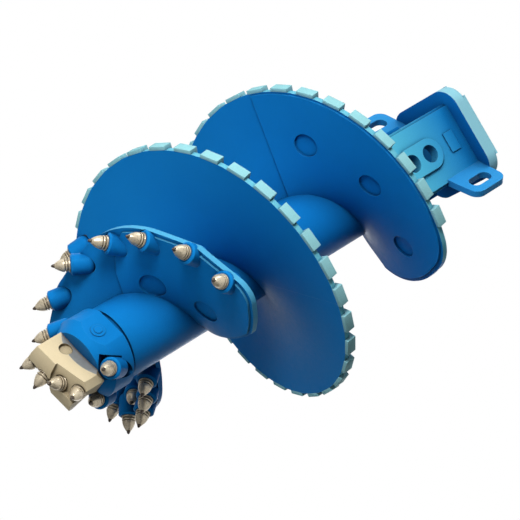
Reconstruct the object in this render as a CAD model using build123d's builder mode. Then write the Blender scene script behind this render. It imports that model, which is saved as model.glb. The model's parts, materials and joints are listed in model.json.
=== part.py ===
from build123d import *
import math
import os

os.makedirs("parts", exist_ok=True)

# Rock drilling auger, axis vertical. +Z runs up the stem to the open end of the kelly box, the pilot bit is
# at the bottom. The origin is the centre of the upper kelly pin bore. The box face with the blank plate
# looks along -Y. Angles run anticlockwise seen from above, and carry on past 360 up the helix.

# Flights: heights are those of the plate's tip side
PITCH = 514.0
FLIGHT_R = 510.0
FLIGHT_T = 20.0
MAIN_Z_AT_180 = -1096.5
TIP_LAG = 25.0
OVERLAY_R = 504.0
OVERLAY_T = 8.0
PLUG_R = 43.0
SEAM_LOWER = 300.0
SEAM_UPPER = 555.0

# Stem, and the socket the pilot bit is pinned in
STEM_R = 128.0
STEM_WALL = 25.0
RING_Z = -1478.5
STEM_TOP = -205.0
SOCKET_R = 140.0
SOCKET_LIP = 8.0
SOCKET_CYL = 95.0
SOCKET_LEN = 136.0
SOCKET_FRONT_R = 112.0
SOCKET_FLAT = 128.0
SOCKET_BORE_R = 60.0
SOCKET_BORE_DEPTH = 110.0
SOCKET_TURN = -28.0
SHANK_FIT = 0.5
POCKET_ROOM = 9.0
POCKET_DEPTH = 34.0

# Pilot bit and its cross pin
PILOT_TURN = -13.5
PILOT_H = 126.0
PILOT_HALF_T = 60.0
PILOT_LONG_END = 126.0
PILOT_SHORT_END = 105.0
PILOT_CORNER_U = 30.0
PILOT_CORNER_V = 24.0
PILOT_STEP_U = -25.0
PILOT_EDGE_U = 38.0
PILOT_EDGE_Z = 26.0
PILOT_CONE_R = 110.0
PILOT_CONE_H = 44.0
PILOT_FACET_Z = -1725.5
PILOT_FACET_SLOPE_U = 0.20
PILOT_FACET_SLOPE_V = 0.35
SPOT_ROOM = 2.0
PILOT_NOTCH_R = 20.0
PILOT_NOTCH_U = -51.0
PILOT_NOTCH_DROP = 32.0
PILOT_NOTCH_DEPTH = 12.0
PIN_R = 24.0
PIN_Z = -1551.5
PIN_PROUD = 3.0
PIN_END_R = 13.0
PIN_END = 3.0

# Round shank picks, all alike, and the holders of those that are set in one
SHANK_R = 15.4
SHANK_LEN = 48.0
COLLAR_R = 25.0
COLLAR_T = 7.0
NECK_R = 21.0
BODY_R = 23.0
BODY_Z = 15.0
TIP_SEAT_R = 9.5
TIP_SEAT_Z = 46.0
TIP_R = 7.5
TIP_POINT_R = 2.5
PICK_LEN = 64.0
COLLAR_GAP = 0.1
BORE_FIT = 0.1
BORE_SPARE = 4.0
HOLDER_R = 36.0
HOLDER_LEN = 84.0
HOLDER_LIP = 5.0
HOLDER_BEVEL = 6.0
HOLDER_REAR = 24.0

# Kelly box
BOX = 260.0
KELLY = 204.0
BASE_T = 20.0
FLANGE = 366.0
FLANGE_BOTTOM = 193.5
FLANGE_T = 45.0
FLANGE_CORNER = 78.0
FACE_W = 244.0
FACE_T = 10.0
KELLY_PIN_R = 33.5
KELLY_PIN_STEP = 93.0
DOUBLER_R = 58.0
DOUBLER_T = 12.0
SIDE_DOUBLER_W = 196.0
SIDE_DOUBLER_TOP = -30.0
FACE_WALL_W = 246.0
SIDE_WALL_T = 30.0
SIDE_WALL_W = 236.0
BASE_CORNER = 20.0
LUG_T = 25.0
LUG_REACH = 308.0
LUG_ROOT = 158.0
LUG_DROP = 176.0
LUG_ROOT_RISE = 8.0
LUG_LOW_R = 40.0
LUG_HIGH_R = 38.0
SLOT_W = 50.0
SLOT_L = 100.0
SLOT_AT = 250.0
SLOT_DROP = 86.0
PLATE_W = 76.0
PLATE_H = 46.0
PLATE_T = 5.0
PLATE_Z = 127.0

WALL = (BOX - KELLY) / 2
BOX_BOTTOM = STEM_TOP + BASE_T
WALL_TOP = FLANGE_BOTTOM + FLANGE_T
BOX_TOP = WALL_TOP + FACE_T
PILOT_TOP = RING_Z - SOCKET_LEN
BORE_R = SHANK_R + BORE_FIT
BORE_DEPTH = SHANK_LEN + BORE_SPARE
TIP_Z_AT_180 = MAIN_Z_AT_180 - PITCH / 2 - TIP_LAG

# Sectors of helical plate. "low" is how far the tip side lies from the helix, "rim" is the outline as
# (angle, radius) points joined three by three with arcs, "plugs" are the blind plug holes.
FLIGHTS = (
    {
        "name": "tip_flight", "z180": TIP_Z_AT_180, "low": 0.0, "thick": FLIGHT_T, "plugs": (),
        "rim": ((113, 334), (121, 318), (130, 306), (142, 307), (152, 299), (165, 297), (181, 312), (197, 338),
                (213, 362), (224, 376), (234, 387), (243, 404), (253, 438), (262, 447), (272, 476), (278, 487),
                (285, 466), (292, 433), (299, 396), (307, 310), (315, 235), (324, 170), (333, 120)),
    },
    {
        "name": "tip_overlay", "z180": TIP_Z_AT_180, "low": -OVERLAY_T, "thick": OVERLAY_T,
        "plugs": ((170, 236), (236, 285)),
        "rim": ((200, 200), (206, 280), (213, 348), (224, 362), (234, 373), (243, 390), (253, 424), (262, 433),
                (272, 462), (278, 473), (285, 452), (292, 419), (299, 382), (306, 300), (313, 220)),
    },
    {
        "name": "main_flight", "z180": MAIN_Z_AT_180, "low": 0.0, "thick": FLIGHT_T, "plugs": (),
        "rim": ((28, 120), (32, 190), (36, 260), (42, 350), (50, 420), (58, 465), (68, 495), (80, 508),
                (95, FLIGHT_R), (130, FLIGHT_R), (165, FLIGHT_R), (200, FLIGHT_R), (235, FLIGHT_R),
                (268, FLIGHT_R), (SEAM_LOWER, FLIGHT_R)),
    },
    {
        "name": "upper_flight", "z180": MAIN_Z_AT_180, "low": 0.0, "thick": FLIGHT_T, "plugs": (),
        "rim": ((SEAM_LOWER, FLIGHT_R), (360, FLIGHT_R), (420, FLIGHT_R), (490, FLIGHT_R),
                (SEAM_UPPER, FLIGHT_R)),
    },
    {
        "name": "top_flight", "z180": MAIN_Z_AT_180, "low": 0.0, "thick": FLIGHT_T, "plugs": (),
        "rim": ((SEAM_UPPER, FLIGHT_R), (590, FLIGHT_R), (625, FLIGHT_R), (645, FLIGHT_R), (662, 509),
                (672, 492), (680, 458), (688, 426), (697, 386), (707, 340), (721, 270), (731, 190), (748, 154),
                (765, 138), (782, 122)),
    },
    {
        "name": "top_overlay", "z180": MAIN_Z_AT_180, "low": -OVERLAY_T, "thick": OVERLAY_T,
        "plugs": ((324, 581), (324, 627), (324, 673.5)),
        "rim": ((SEAM_UPPER, OVERLAY_R), (590, OVERLAY_R), (625, OVERLAY_R), (645, OVERLAY_R), (660, 501),
                (670, 484), (678, 450), (686, 418), (695, 378), (705, 330), (716, 262)),
    },
)

# Picks set in holders: name, radius and angle of the holder's front, what it is set under, how far below
# that, and the direction the pick points in, as parts against the turn, down and outward.
PICKS = (
    {"name": "tip_1", "r": 297, "deg": 137, "on": "tip", "drop": 25, "turn": 0.34, "down": 0.80, "out": 0.50},
    {"name": "tip_2", "r": 293, "deg": 170, "on": "tip", "drop": 25, "turn": 0.34, "down": 0.80, "out": 0.50},
    {"name": "tip_3", "r": 315, "deg": 204, "on": "tip", "drop": 25, "turn": 0.34, "down": 0.80, "out": 0.50},
    {"name": "tip_4", "r": 355, "deg": 228, "on": "tip", "drop": 25, "turn": 0.34, "down": 0.80, "out": 0.50},
    {"name": "tip_5", "r": 415, "deg": 251, "on": "tip", "drop": 25, "turn": 0.34, "down": 0.80, "out": 0.50},
    {"name": "tip_6", "r": 448, "deg": 270, "on": "tip", "drop": 25, "turn": 0.34, "down": 0.80, "out": 0.50},
    {"name": "main_1", "r": 205, "deg": 33, "on": "main", "drop": 50, "turn": 0.48, "down": 0.83, "out": 0.28},
    {"name": "main_2", "r": 285, "deg": 39, "on": "main", "drop": 50, "turn": 0.48, "down": 0.83, "out": 0.28},
    {"name": "main_3", "r": 361, "deg": 44, "on": "main", "drop": 50, "turn": 0.48, "down": 0.83, "out": 0.28},
    {"name": "main_4", "r": 373, "deg": 58, "on": "main", "drop": 29, "turn": 0.54, "down": 0.78, "out": -0.33},
    {"name": "main_5", "r": 455, "deg": 56, "on": "main", "drop": 50, "turn": 0.69, "down": 0.62, "out": 0.37},
    {"name": "main_6", "r": 485, "deg": 66, "on": "main", "drop": 51, "turn": 0.52, "down": 0.72, "out": 0.46},
    {"name": "main_7", "r": 496, "deg": 88, "on": "main", "drop": 40, "turn": 0.52, "down": 0.72, "out": 0.46},
    {"name": "main_8", "r": 496, "deg": 110, "on": "main", "drop": 34, "turn": 0.52, "down": 0.72, "out": 0.46},
    {"name": "main_9", "r": 494, "deg": 131, "on": "main", "drop": 28, "turn": 0.52, "down": 0.72, "out": 0.46},
    {"name": "socket_1", "r": 149, "deg": 294, "on": -1596.5, "drop": 0, "turn": 0.41, "down": 0.77, "out": 0.49},
    {"name": "socket_2", "r": 138, "deg": 18, "on": -1586.5, "drop": 0, "turn": 0.46, "down": 0.86, "out": -0.20},
    {"name": "socket_3", "r": 149, "deg": 146, "on": -1596.5, "drop": 0, "turn": 0.41, "down": 0.77, "out": 0.49},
)

# Picks set straight in the pilot bit
PILOT_PICKS = (
    {"name": "pilot_1", "r": 99, "deg": 139.5, "on": -1693.0, "drop": 0, "turn": 0.30, "down": 0.85, "out": 0.35},
    {"name": "pilot_2", "r": 99, "deg": 319.5, "on": -1693.0, "drop": 0, "turn": 0.30, "down": 0.85, "out": 0.35},
    {"name": "pilot_3", "r": 38, "deg": 131, "on": -1711.5, "drop": 0, "turn": 0.45, "down": 0.88, "out": 0.0},
    {"name": "pilot_4", "r": 38, "deg": 311, "on": -1711.5, "drop": 0, "turn": 0.45, "down": 0.88, "out": 0.0},
)

# Hard-faced wear pads on the kelly side of the rim
PAD_FIRST = 143.4
PAD_STEP = 11.8
PAD_COUNT = 44
PAD_LONG = 68.0
PAD_WIDE = 30.0
PAD_THICK = 16.0
PAD_PROUD = 12.0


def polar(radius, degrees):
    return (radius * math.cos(math.radians(degrees)), radius * math.sin(math.radians(degrees)))


def helix_z(z_at_180, degrees):
    return z_at_180 + PITCH * (degrees - 180) / 360


# Planes whose +Z is the way each pick points, with the origin at the middle of the holder's front
PICK_PLANES = {}
for pick in PICKS + PILOT_PICKS:
    degrees = pick["deg"]
    if pick["on"] == "tip":
        height = helix_z(TIP_Z_AT_180, degrees) - pick["drop"]
    elif pick["on"] == "main":
        height = helix_z(MAIN_Z_AT_180, degrees) - pick["drop"]
    else:
        height = pick["on"] - pick["drop"]
    away = polar(1, degrees)
    against = (away[1], -away[0])
    heading = Vector(
        pick["turn"] * against[0] + pick["out"] * away[0],
        pick["turn"] * against[1] + pick["out"] * away[1],
        -pick["down"],
    ).normalized()
    spot = polar(pick["r"], degrees)
    side_way = heading.cross(Vector(0, 0, 1)).normalized()
    PICK_PLANES[pick["name"]] = Plane(origin=(spot[0], spot[1], height), x_dir=side_way, z_dir=heading)

for name, spot in PICK_PLANES.items():
    with BuildPart() as bit:
        with BuildSketch(Plane(origin=spot.origin, x_dir=spot.x_dir, z_dir=-spot.y_dir)):
            with BuildLine():
                Polyline(
                    (0, -SHANK_LEN),
                    (SHANK_R, -SHANK_LEN),
                    (SHANK_R, COLLAR_GAP),
                    (COLLAR_R, COLLAR_GAP),
                    (COLLAR_R, COLLAR_T),
                    (NECK_R, (COLLAR_T + BODY_Z) / 2),
                    (BODY_R, BODY_Z),
                    (TIP_SEAT_R, TIP_SEAT_Z),
                    (TIP_R, TIP_SEAT_Z + TIP_R),
                    (TIP_POINT_R, PICK_LEN),
                    (0, PICK_LEN),
                    close=True,
                )
            make_face()
        revolve(axis=Axis(spot.origin, spot.z_dir))
    bit.part.label = "pick_" + name
    export_step(bit.part, "parts/pick_" + name + ".step")

# Holders, one node for each row of them
HOLDER_PLANES = {pick["name"]: PICK_PLANES[pick["name"]] for pick in PICKS}
SOCKET_PICKS = [name for name in HOLDER_PLANES if name.startswith("socket")]
for row in ("tip", "main", "socket"):
    with BuildPart() as holders:
        for name, spot in HOLDER_PLANES.items():
            if name.startswith(row):
                with BuildSketch(Plane(origin=spot.origin, x_dir=spot.x_dir, z_dir=-spot.y_dir)):
                    with BuildLine():
                        Polyline(
                            (0, -HOLDER_LEN),
                            (0, 0),
                            (HOLDER_R - HOLDER_BEVEL, 0),
                            (HOLDER_R, -HOLDER_LIP),
                            (HOLDER_R, HOLDER_REAR - HOLDER_LEN),
                        )
                        RadiusArc(
                            (HOLDER_R, HOLDER_REAR - HOLDER_LEN),
                            (HOLDER_R - HOLDER_REAR, -HOLDER_LEN),
                            HOLDER_REAR,
                        )
                        Line((HOLDER_R - HOLDER_REAR, -HOLDER_LEN), (0, -HOLDER_LEN))
                    make_face()
                revolve(axis=Axis(spot.origin, spot.z_dir))
        for name, spot in HOLDER_PLANES.items():
            if name.startswith(row):
                with Locations(Location(spot)):
                    Cylinder(
                        BORE_R,
                        BORE_DEPTH,
                        align=(Align.CENTER, Align.CENTER, Align.MAX),
                        mode=Mode.SUBTRACT,
                    )
                    Cylinder(
                        COLLAR_R + SPOT_ROOM,
                        PICK_LEN,
                        align=(Align.CENTER, Align.CENTER, Align.MIN),
                        mode=Mode.SUBTRACT,
                    )
    holders.part.label = "holders_" + row
    export_step(holders.part, "parts/holders_" + row + ".step")

with BuildPart() as stem:
    with Locations((0, 0, RING_Z)):
        Cylinder(STEM_R, STEM_TOP - RING_Z, align=(Align.CENTER, Align.CENTER, Align.MIN))
        Cylinder(
            STEM_R - STEM_WALL,
            STEM_TOP - RING_Z,
            align=(Align.CENTER, Align.CENTER, Align.MIN),
            mode=Mode.SUBTRACT,
        )
    for name in SOCKET_PICKS:
        with Locations(Location(PICK_PLANES[name])):
            Cylinder(HOLDER_R, HOLDER_LEN, align=(Align.CENTER, Align.CENTER, Align.MAX), mode=Mode.SUBTRACT)
stem.part.label = "stem"
export_step(stem.part, "parts/stem.step")

PIN_PLANE = Plane(origin=(0, 0, PIN_Z), x_dir=(0, 0, 1), z_dir=(*polar(1, 270 + SOCKET_TURN), 0))
with BuildPart() as socket:
    with BuildSketch(Plane.XZ):
        with BuildLine():
            Polyline(
                (0, RING_Z),
                (SOCKET_R, RING_Z),
                (SOCKET_R, RING_Z - SOCKET_CYL),
                (SOCKET_FRONT_R, PILOT_TOP),
                (0, PILOT_TOP),
                close=True,
            )
        make_face()
    revolve(axis=Axis.Z)
    with Locations((0, 0, PILOT_TOP)):
        Cylinder(
            SOCKET_BORE_R,
            SOCKET_BORE_DEPTH,
            align=(Align.CENTER, Align.CENTER, Align.MIN),
            mode=Mode.SUBTRACT,
        )
    for side in (-1, 1):
        flat_way = polar(side, 270 + SOCKET_TURN)
        with BuildSketch(
            Plane(
                origin=(SOCKET_FLAT * flat_way[0], SOCKET_FLAT * flat_way[1], RING_Z - SOCKET_LIP),
                x_dir=(0, 0, -1),
                z_dir=(flat_way[0], flat_way[1], 0),
            )
        ):
            Rectangle(SOCKET_LEN, 2 * SOCKET_R, align=(Align.MIN, Align.CENTER))
        extrude(amount=SOCKET_R, mode=Mode.SUBTRACT)
    with BuildSketch(PIN_PLANE):
        Circle(PIN_R)
    extrude(amount=SOCKET_R, both=True, mode=Mode.SUBTRACT)
    for name in SOCKET_PICKS:
        with Locations(Location(PICK_PLANES[name])):
            Cylinder(HOLDER_R, HOLDER_LEN, align=(Align.CENTER, Align.CENTER, Align.MAX), mode=Mode.SUBTRACT)
        with Locations(Location(PICK_PLANES[name]) * Location((0, 0, -POCKET_DEPTH))):
            Cylinder(
                HOLDER_R + POCKET_ROOM,
                SOCKET_R,
                align=(Align.CENTER, Align.CENTER, Align.MIN),
                mode=Mode.SUBTRACT,
            )
socket.part.label = "pilot_socket"
export_step(socket.part, "parts/pilot_socket.step")

# Pilot bit: a two-winged block, alike when turned by half a turn
PILOT_PLANES = (
    Plane(origin=(0, 0, PILOT_TOP), x_dir=(*polar(1, PILOT_TURN), 0), z_dir=(0, 0, 1)),
    Plane(origin=(0, 0, PILOT_TOP), x_dir=(*polar(-1, PILOT_TURN), 0), z_dir=(0, 0, 1)),
)
facets = []
for half in PILOT_PLANES:
    facet_way = -half.z_dir - half.y_dir * PILOT_FACET_SLOPE_V + half.x_dir * PILOT_FACET_SLOPE_U
    with BuildPart() as facet:
        with BuildSketch(half):
            with Locations((PILOT_STEP_U, 0)):
                Rectangle(2 * PILOT_LONG_END, 2 * PILOT_HALF_T, align=(Align.MIN, Align.MAX))
        extrude(amount=-2 * PILOT_H)
        with Locations(Location(Plane(origin=(0, 0, PILOT_FACET_Z), z_dir=facet_way))):
            Box(
                6 * PILOT_LONG_END,
                6 * PILOT_LONG_END,
                3 * PILOT_H,
                align=(Align.CENTER, Align.CENTER, Align.MIN),
                mode=Mode.INTERSECT,
            )
    facets.append(facet)

with BuildPart() as pilot:
    with BuildSketch(PILOT_PLANES[0]):
        with BuildLine():
            Polyline(
                (-PILOT_SHORT_END, -PILOT_HALF_T),
                (PILOT_LONG_END - PILOT_CORNER_U, -PILOT_HALF_T),
                (PILOT_LONG_END, PILOT_CORNER_V - PILOT_HALF_T),
                (PILOT_SHORT_END, PILOT_HALF_T),
                (PILOT_CORNER_U - PILOT_LONG_END, PILOT_HALF_T),
                (-PILOT_LONG_END, PILOT_HALF_T - PILOT_CORNER_V),
                close=True,
            )
        make_face()
    extrude(amount=-PILOT_H)
    for half, facet in zip(PILOT_PLANES, facets):
        add(facet.part, mode=Mode.SUBTRACT)
        with BuildSketch(
            Plane(
                origin=half.from_local_coords((PILOT_STEP_U, -PILOT_HALF_T, -PILOT_H)),
                x_dir=half.y_dir,
                z_dir=-half.x_dir,
            )
        ):
            with BuildLine():
                Polyline((0, 0), (PILOT_EDGE_U, 0), (0, -PILOT_EDGE_Z), close=True)
            make_face()
        extrude(amount=PILOT_LONG_END, mode=Mode.SUBTRACT)
        with BuildSketch(
            Plane(
                origin=half.from_local_coords((PILOT_NOTCH_U, -PILOT_HALF_T, -PILOT_NOTCH_DROP)),
                x_dir=half.x_dir,
                z_dir=half.y_dir,
            )
        ):
            Circle(PILOT_NOTCH_R)
        extrude(amount=PILOT_NOTCH_DEPTH, mode=Mode.SUBTRACT)
    with Locations((0, 0, PILOT_TOP)):
        Cone(PILOT_HALF_T, PILOT_CONE_R, PILOT_CONE_H, align=(Align.CENTER, Align.CENTER, Align.MAX))
        Cylinder(
            SOCKET_BORE_R - SHANK_FIT,
            SOCKET_BORE_DEPTH,
            align=(Align.CENTER, Align.CENTER, Align.MIN),
        )
    for pick in PILOT_PICKS:
        with Locations(Location(PICK_PLANES[pick["name"]])):
            Cylinder(
                COLLAR_R + SPOT_ROOM,
                PILOT_H,
                align=(Align.CENTER, Align.CENTER, Align.MIN),
                mode=Mode.SUBTRACT,
            )
            Cylinder(BORE_R, BORE_DEPTH, align=(Align.CENTER, Align.CENTER, Align.MAX), mode=Mode.SUBTRACT)
    with BuildSketch(PIN_PLANE):
        Circle(PIN_R)
    extrude(amount=SOCKET_R, both=True, mode=Mode.SUBTRACT)
    for name in SOCKET_PICKS:
        with Locations(Location(PICK_PLANES[name]) * Location((0, 0, -POCKET_DEPTH))):
            Cylinder(
                HOLDER_R + POCKET_ROOM,
                SOCKET_R,
                align=(Align.CENTER, Align.CENTER, Align.MIN),
                mode=Mode.SUBTRACT,
            )
pilot.part.label = "pilot_bit"
export_step(pilot.part, "parts/pilot_bit.step")

with BuildPart() as pilot_pin:
    with BuildSketch(PIN_PLANE):
        Circle(PIN_R)
    extrude(amount=SOCKET_FLAT + PIN_PROUD, both=True)
    with BuildSketch(PIN_PLANE):
        Circle(PIN_END_R)
    extrude(amount=SOCKET_FLAT + PIN_PROUD + PIN_END, both=True)
pilot_pin.part.label = "pilot_pin"
export_step(pilot_pin.part, "parts/pilot_pin.step")

# Helical plates, each swept along its helix and trimmed to its outline from above
plates = []
for flight in FLIGHTS:
    first = flight["rim"][0][0]
    span = flight["rim"][-1][0] - first
    rise = PITCH * span / 360
    z_first = helix_z(flight["z180"], first)
    mid_r = (STEM_R + FLIGHT_R) / 2
    rim = [polar(radius, degrees) for degrees, radius in flight["rim"]]
    with BuildPart() as plate:
        with BuildLine() as path:
            Helix(pitch=PITCH, height=rise, radius=mid_r, center=(0, 0, z_first))
        with BuildSketch(
            Plane(origin=(0, 0, z_first), x_dir=(*polar(1, first), 0), z_dir=(*polar(-1, first + 90), 0))
        ):
            with Locations((mid_r, flight["low"] + flight["thick"] / 2)):
                Rectangle(FLIGHT_R, flight["thick"])
        sweep(path=path.wires()[0].rotate(Axis.Z, first), is_frenet=True)
        with BuildSketch(Plane.XY.offset(z_first - PITCH / 4)):
            with BuildLine():
                for k in range(0, len(rim) - 2, 2):
                    ThreePointArc(rim[k], rim[k + 1], rim[k + 2])
                Line(rim[-1], (0, 0))
                Line((0, 0), rim[0])
            make_face()
        extrude(amount=rise + PITCH / 2, mode=Mode.INTERSECT)
        with Locations((0, 0, z_first - PITCH / 4)):
            Cylinder(
                STEM_R,
                rise + PITCH / 2,
                align=(Align.CENTER, Align.CENTER, Align.MIN),
                mode=Mode.SUBTRACT,
            )
        for name, spot in HOLDER_PLANES.items():
            with Locations(Location(spot)):
                Cylinder(
                    HOLDER_R,
                    HOLDER_LEN,
                    align=(Align.CENTER, Align.CENTER, Align.MAX),
                    mode=Mode.SUBTRACT,
                )
                Cylinder(
                    COLLAR_R + SPOT_ROOM,
                    PICK_LEN,
                    align=(Align.CENTER, Align.CENTER, Align.MIN),
                    mode=Mode.SUBTRACT,
                )
        for radius, degrees in flight["plugs"]:
            with Locations((*polar(radius, degrees), z_first - PITCH / 4)):
                Cylinder(
                    PLUG_R,
                    rise + PITCH / 2,
                    align=(Align.CENTER, Align.CENTER, Align.MIN),
                    mode=Mode.SUBTRACT,
                )
    plates.append(plate)
    plate.part.label = flight["name"]
    export_step(plate.part, "parts/" + flight["name"] + ".step")

# Wear pads along the rim, in three runs, each let down on the plate under it
lead = math.degrees(math.atan(PITCH / (2 * math.pi * FLIGHT_R)))
for name, first, last in (("pads_lower", 0, 14), ("pads_middle", 14, 29), ("pads_upper", 29, PAD_COUNT)):
    with BuildPart() as pads:
        for k in range(first, last):
            degrees = PAD_FIRST + k * PAD_STEP
            away = polar(1, degrees)
            spot = polar(FLIGHT_R + PAD_PROUD - PAD_WIDE / 2, degrees)
            tangent = Vector(-away[1], away[0], math.tan(math.radians(lead))).normalized()
            plate_top = helix_z(MAIN_Z_AT_180, degrees) + FLIGHT_T / math.cos(math.radians(lead))
            with BuildSketch(
                Plane(
                    origin=(spot[0], spot[1], plate_top - 1),
                    x_dir=tangent,
                    z_dir=Vector(away[0], away[1], 0).cross(tangent),
                )
            ):
                Rectangle(PAD_LONG, PAD_WIDE)
            extrude(amount=PAD_THICK + 1)
        for plate in plates:
            add(plate.part, mode=Mode.SUBTRACT)
    pads.part.label = name
    export_step(pads.part, "parts/" + name + ".step")

# Kelly box
with BuildPart() as base_plate:
    with BuildSketch(Plane.XY.offset(STEM_TOP)):
        RectangleRounded(BOX, BOX, BASE_CORNER)
    extrude(amount=BASE_T)
base_plate.part.label = "base_plate"
export_step(base_plate.part, "parts/base_plate.step")

walls = []
for name, side in (("box_wall_left", -1), ("box_wall_right", 1)):
    with BuildPart() as wall:
        with BuildSketch(Plane.XY.offset(BOX_BOTTOM)):
            with Locations((side * (KELLY + SIDE_WALL_T) / 2, 0)):
                Rectangle(SIDE_WALL_T, SIDE_WALL_W)
        extrude(amount=WALL_TOP - BOX_BOTTOM)
    walls.append(wall)
    wall.part.label = name
    export_step(wall.part, "parts/" + name + ".step")

for name, side in (("box_wall_near", -1), ("box_wall_far", 1)):
    with BuildPart() as wall:
        with BuildSketch(Plane.XY.offset(BOX_BOTTOM)):
            with Locations((0, side * (BOX - WALL) / 2)):
                Rectangle(FACE_WALL_W, WALL)
        extrude(amount=WALL_TOP - BOX_BOTTOM)
        for side_wall in walls[:2]:
            add(side_wall.part, mode=Mode.SUBTRACT)
        with BuildSketch(Plane.XZ):
            with Locations((0, 0), (0, -KELLY_PIN_STEP)):
                Circle(KELLY_PIN_R)
        extrude(amount=BOX, both=True, mode=Mode.SUBTRACT)
    walls.append(wall)
    wall.part.label = name
    export_step(wall.part, "parts/" + name + ".step")

for name, side in (("doubler_near", -1), ("doubler_far", 1)):
    with BuildPart() as doubler:
        with BuildSketch(Plane(origin=(0, side * BOX / 2, 0), x_dir=(1, 0, 0), z_dir=(0, side, 0))):
            with Locations((0, side * KELLY_PIN_STEP / 2)):
                SlotOverall(KELLY_PIN_STEP + 2 * DOUBLER_R, 2 * DOUBLER_R, rotation=90)
            with Locations((0, 0), (0, side * KELLY_PIN_STEP)):
                Circle(KELLY_PIN_R, mode=Mode.SUBTRACT)
        extrude(amount=DOUBLER_T)
    doubler.part.label = name
    export_step(doubler.part, "parts/" + name + ".step")

for name, side in (("doubler_left", -1), ("doubler_right", 1)):
    with BuildPart() as doubler:
        with BuildSketch(Plane.XY.offset(BOX_BOTTOM)):
            with Locations((side * (KELLY / 2 + SIDE_WALL_T + DOUBLER_T / 2), 0)):
                Rectangle(DOUBLER_T, SIDE_DOUBLER_W)
        extrude(amount=SIDE_DOUBLER_TOP - BOX_BOTTOM)
    doubler.part.label = name
    export_step(doubler.part, "parts/" + name + ".step")

with BuildPart() as flange:
    with BuildSketch(Plane.XY.offset(FLANGE_BOTTOM)):
        RectangleRounded(FLANGE, FLANGE, FLANGE_CORNER)
        Rectangle(KELLY, KELLY, mode=Mode.SUBTRACT)
    extrude(amount=FLANGE_T)
    for wall in walls:
        add(wall.part, mode=Mode.SUBTRACT)
flange.part.label = "flange"
export_step(flange.part, "parts/flange.step")

with BuildPart() as end_face:
    with BuildSketch(Plane.XY.offset(WALL_TOP)):
        Rectangle(FLANGE, FACE_W)
        Rectangle(FACE_W, FLANGE)
        Rectangle(KELLY, KELLY, mode=Mode.SUBTRACT)
    extrude(amount=FACE_T)
end_face.part.label = "end_face"
export_step(end_face.part, "parts/end_face.step")

# Lugs stand out of two opposite corners, in the plane of the corner's diagonal
for name, turn in (("lug_right", -45), ("lug_left", 135)):
    way = polar(1, turn)
    with BuildPart() as lug:
        with BuildSketch(Plane(origin=(0, 0, FLANGE_BOTTOM), x_dir=(*way, 0), z_dir=(way[1], -way[0], 0))):
            with BuildLine():
                Line((LUG_ROOT, 0), (LUG_ROOT, -LUG_DROP))
                Line((LUG_ROOT, -LUG_DROP), (LUG_REACH - LUG_LOW_R, LUG_ROOT_RISE - LUG_DROP))
                RadiusArc(
                    (LUG_REACH - LUG_LOW_R, LUG_ROOT_RISE - LUG_DROP),
                    (LUG_REACH, LUG_ROOT_RISE + LUG_LOW_R - LUG_DROP),
                    -LUG_LOW_R,
                )
                Line((LUG_REACH, LUG_ROOT_RISE + LUG_LOW_R - LUG_DROP), (LUG_REACH, -LUG_HIGH_R))
                RadiusArc((LUG_REACH, -LUG_HIGH_R), (LUG_REACH - LUG_HIGH_R, 0), -LUG_HIGH_R)
                Line((LUG_REACH - LUG_HIGH_R, 0), (LUG_ROOT, 0))
            make_face()
            with Locations((SLOT_AT, -SLOT_DROP)):
                SlotOverall(SLOT_L, SLOT_W, rotation=90, mode=Mode.SUBTRACT)
        extrude(amount=LUG_T / 2, both=True)
        for wall in walls:
            add(wall.part, mode=Mode.SUBTRACT)
    lug.part.label = name
    export_step(lug.part, "parts/" + name + ".step")

with BuildPart() as blank_plate:
    with Locations((0, -BOX / 2, PLATE_Z)):
        Box(PLATE_W, PLATE_T, PLATE_H, align=(Align.CENTER, Align.MAX, Align.CENTER))
blank_plate.part.label = "blank_plate"
export_step(blank_plate.part, "parts/blank_plate.step")
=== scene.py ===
"""Looks of a rock drilling auger: paint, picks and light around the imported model.

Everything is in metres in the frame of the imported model: the origin is the upper kelly pin's centre, +Z
runs up the turning axis and the pilot bit is at the bottom.
"""

from __future__ import annotations

import json
import logging
import math
from dataclasses import dataclass, replace
from enum import Enum

import bmesh
import bpy
from mathutils import Matrix, Vector

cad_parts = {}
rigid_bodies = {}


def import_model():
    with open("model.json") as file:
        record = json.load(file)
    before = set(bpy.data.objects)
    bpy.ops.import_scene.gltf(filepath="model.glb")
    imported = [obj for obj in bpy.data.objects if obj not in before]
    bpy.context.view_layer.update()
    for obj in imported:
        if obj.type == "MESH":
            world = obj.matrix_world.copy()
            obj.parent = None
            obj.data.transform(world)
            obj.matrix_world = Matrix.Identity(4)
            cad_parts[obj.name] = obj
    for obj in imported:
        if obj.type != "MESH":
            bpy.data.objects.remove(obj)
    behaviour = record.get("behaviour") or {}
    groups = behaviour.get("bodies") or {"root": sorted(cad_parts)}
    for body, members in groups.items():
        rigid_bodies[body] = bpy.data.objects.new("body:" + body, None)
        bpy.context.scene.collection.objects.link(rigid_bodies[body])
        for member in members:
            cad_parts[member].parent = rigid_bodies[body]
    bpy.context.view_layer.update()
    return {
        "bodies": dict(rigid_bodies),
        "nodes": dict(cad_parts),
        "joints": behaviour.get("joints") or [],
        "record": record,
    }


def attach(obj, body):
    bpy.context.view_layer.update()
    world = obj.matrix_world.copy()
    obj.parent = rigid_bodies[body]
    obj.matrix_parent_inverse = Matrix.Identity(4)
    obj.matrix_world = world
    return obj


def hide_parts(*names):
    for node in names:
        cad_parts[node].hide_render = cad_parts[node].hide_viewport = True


LOG = logging.getLogger("auger")
MM = 0.001
EDGE_SAMPLES = 6
CREVICE_SAMPLES = 8
ROUND_FACETS = 64
WING_TURN = -28.0
PIN_RADIUS = 24.0

Colour = tuple[float, float, float, float]
Outline = list[tuple[float, float]]
Point = tuple[float, float, float]
Joint = dict[str, object]


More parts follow.
